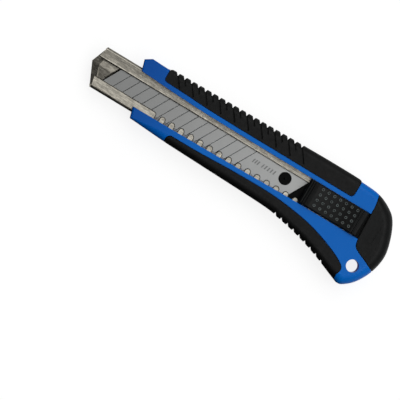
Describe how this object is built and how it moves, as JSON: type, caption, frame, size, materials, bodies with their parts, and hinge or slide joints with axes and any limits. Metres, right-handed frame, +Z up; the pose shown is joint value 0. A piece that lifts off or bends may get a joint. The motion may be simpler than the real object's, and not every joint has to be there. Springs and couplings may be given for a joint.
{
  "type": "snap-off utility knife",
  "caption": "Snap-off utility knife: steel channel with a segmented blade, two-material curved grip, self-locking thumb slider and pull-off end cap.",
  "frame": {"origin": "under the middle of the knife's box, on the surface its back rests on", "axes": "+X from the blade's end to the tail, +Y from the belly to the spine, +Z up to the slider side"},
  "size_m": [0.1624, 0.0464, 0.0185],
  "materials": {
    "handle_plastic": "moulded ABS, satin gloss",
    "soft_grip": "overmoulded thermoplastic rubber, matt",
    "channel_steel": "stamped stainless sheet, brushed lengthwise",
    "blade_steel": "ground carbon steel",
    "spring_steel": "bright rolled strip",
    "black_plastic": "moulded ABS, fine texture"
  },
  "bodies": {
    "handle": {"handle_body": "handle_plastic", "grip_overmould": "soft_grip", "blade_channel": "channel_steel"},
    "carrier": {"blade_carrier": "black_plastic", "blade": "blade_steel", "lock_spring": "spring_steel"},
    "slider": {"thumb_slider": "black_plastic"},
    "cap": {"end_cap": "black_plastic"}
  },
  "joints": [
    {"name": "blade_slide", "type": "slide", "parent": "handle", "child": "carrier", "axis": [-1, 0, 0], "range_m": [0, 0.0816], "deforming": ["lock_spring"]},
    {"name": "lock_release", "type": "slide", "parent": "carrier", "child": "slider", "axis": [-1, 0, 0], "range_m": [-0.0008, 0.0008], "stiffness_N_per_m": 300},
    {"name": "cap_pull", "type": "slide", "parent": "handle", "child": "cap", "axis": [1, 0, 0], "range_m": [0, 0.025]}
  ]
}
